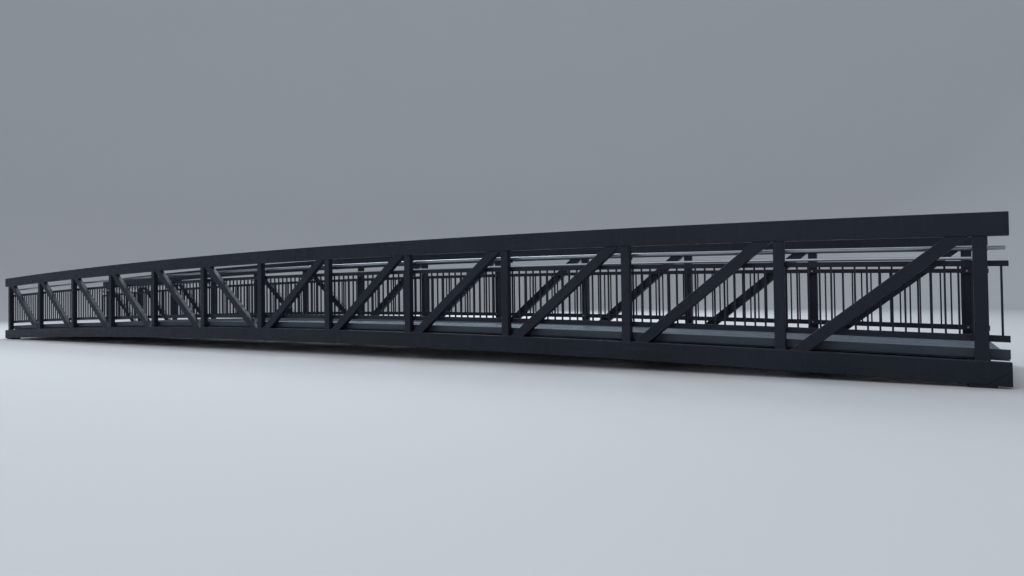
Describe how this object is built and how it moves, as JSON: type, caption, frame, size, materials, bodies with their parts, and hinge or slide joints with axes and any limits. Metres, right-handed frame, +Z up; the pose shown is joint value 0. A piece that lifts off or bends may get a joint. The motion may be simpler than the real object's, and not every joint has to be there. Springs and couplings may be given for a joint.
{
  "type": "aluminium truss footbridge",
  "caption": "Arched aluminium truss footbridge in grey coating, with baluster railings, satin handrails and a ribbed deck.",
  "frame": {"origin": "Under the middle of the span, midway between the trusses, on the level of the bearing plates' undersides.", "axes": "+X along the bridge towards the end called east, +Y across it towards the left truss, +Z up."},
  "size_m": [24.5, 2.92, 2.055],
  "materials": {
    "grey_coated_aluminium": "semi_gloss",
    "satin_handrail": "satin",
    "bare_deck": "matte"
  },
  "bodies": {
    "root": {"bearing_plates": "grey_coated_aluminium", "cross_beams": "grey_coated_aluminium", "end_beams": "grey_coated_aluminium", "wind_bracing": "grey_coated_aluminium", "right_bottom_chord_west": "grey_coated_aluminium", "right_bottom_chord_east": "grey_coated_aluminium", "right_top_chord_west": "grey_coated_aluminium", "right_top_chord_east": "grey_coated_aluminium", "right_chord_toe_west": "grey_coated_aluminium", "right_chord_toe_east": "grey_coated_aluminium", "right_posts": "grey_coated_aluminium", "right_end_post_west": "grey_coated_aluminium", "right_end_post_east": "grey_coated_aluminium", "right_diagonals_west": "grey_coated_aluminium", "right_diagonals_east": "grey_coated_aluminium", "right_kerb": "grey_coated_aluminium", "right_railing_panel_1": "grey_coated_aluminium", "right_railing_panel_2": "grey_coated_aluminium", "right_railing_panel_3": "grey_coated_aluminium", "right_railing_panel_4": "grey_coated_aluminium", "right_handrail_brackets": "grey_coated_aluminium", "left_bottom_chord_west": "grey_coated_aluminium", "left_bottom_chord_east": "grey_coated_aluminium", "left_top_chord_west": "grey_coated_aluminium", "left_top_chord_east": "grey_coated_aluminium", "left_chord_toe_west": "grey_coated_aluminium", "left_chord_toe_east": "grey_coated_aluminium", "left_posts": "grey_coated_aluminium", "left_end_post_west": "grey_coated_aluminium", "left_end_post_east": "grey_coated_aluminium", "left_diagonals_west": "grey_coated_aluminium", "left_diagonals_east": "grey_coated_aluminium", "left_kerb": "grey_coated_aluminium", "left_railing_panel_1": "grey_coated_aluminium", "left_railing_panel_2": "grey_coated_aluminium", "left_railing_panel_3": "grey_coated_aluminium", "left_railing_panel_4": "grey_coated_aluminium", "left_handrail_brackets": "grey_coated_aluminium", "right_handrail": "satin_handrail", "left_handrail": "satin_handrail", "deck_panel_1": "bare_deck", "deck_panel_2": "bare_deck", "deck_panel_3": "bare_deck", "deck_panel_4": "bare_deck"}
  },
  "joints": []
}
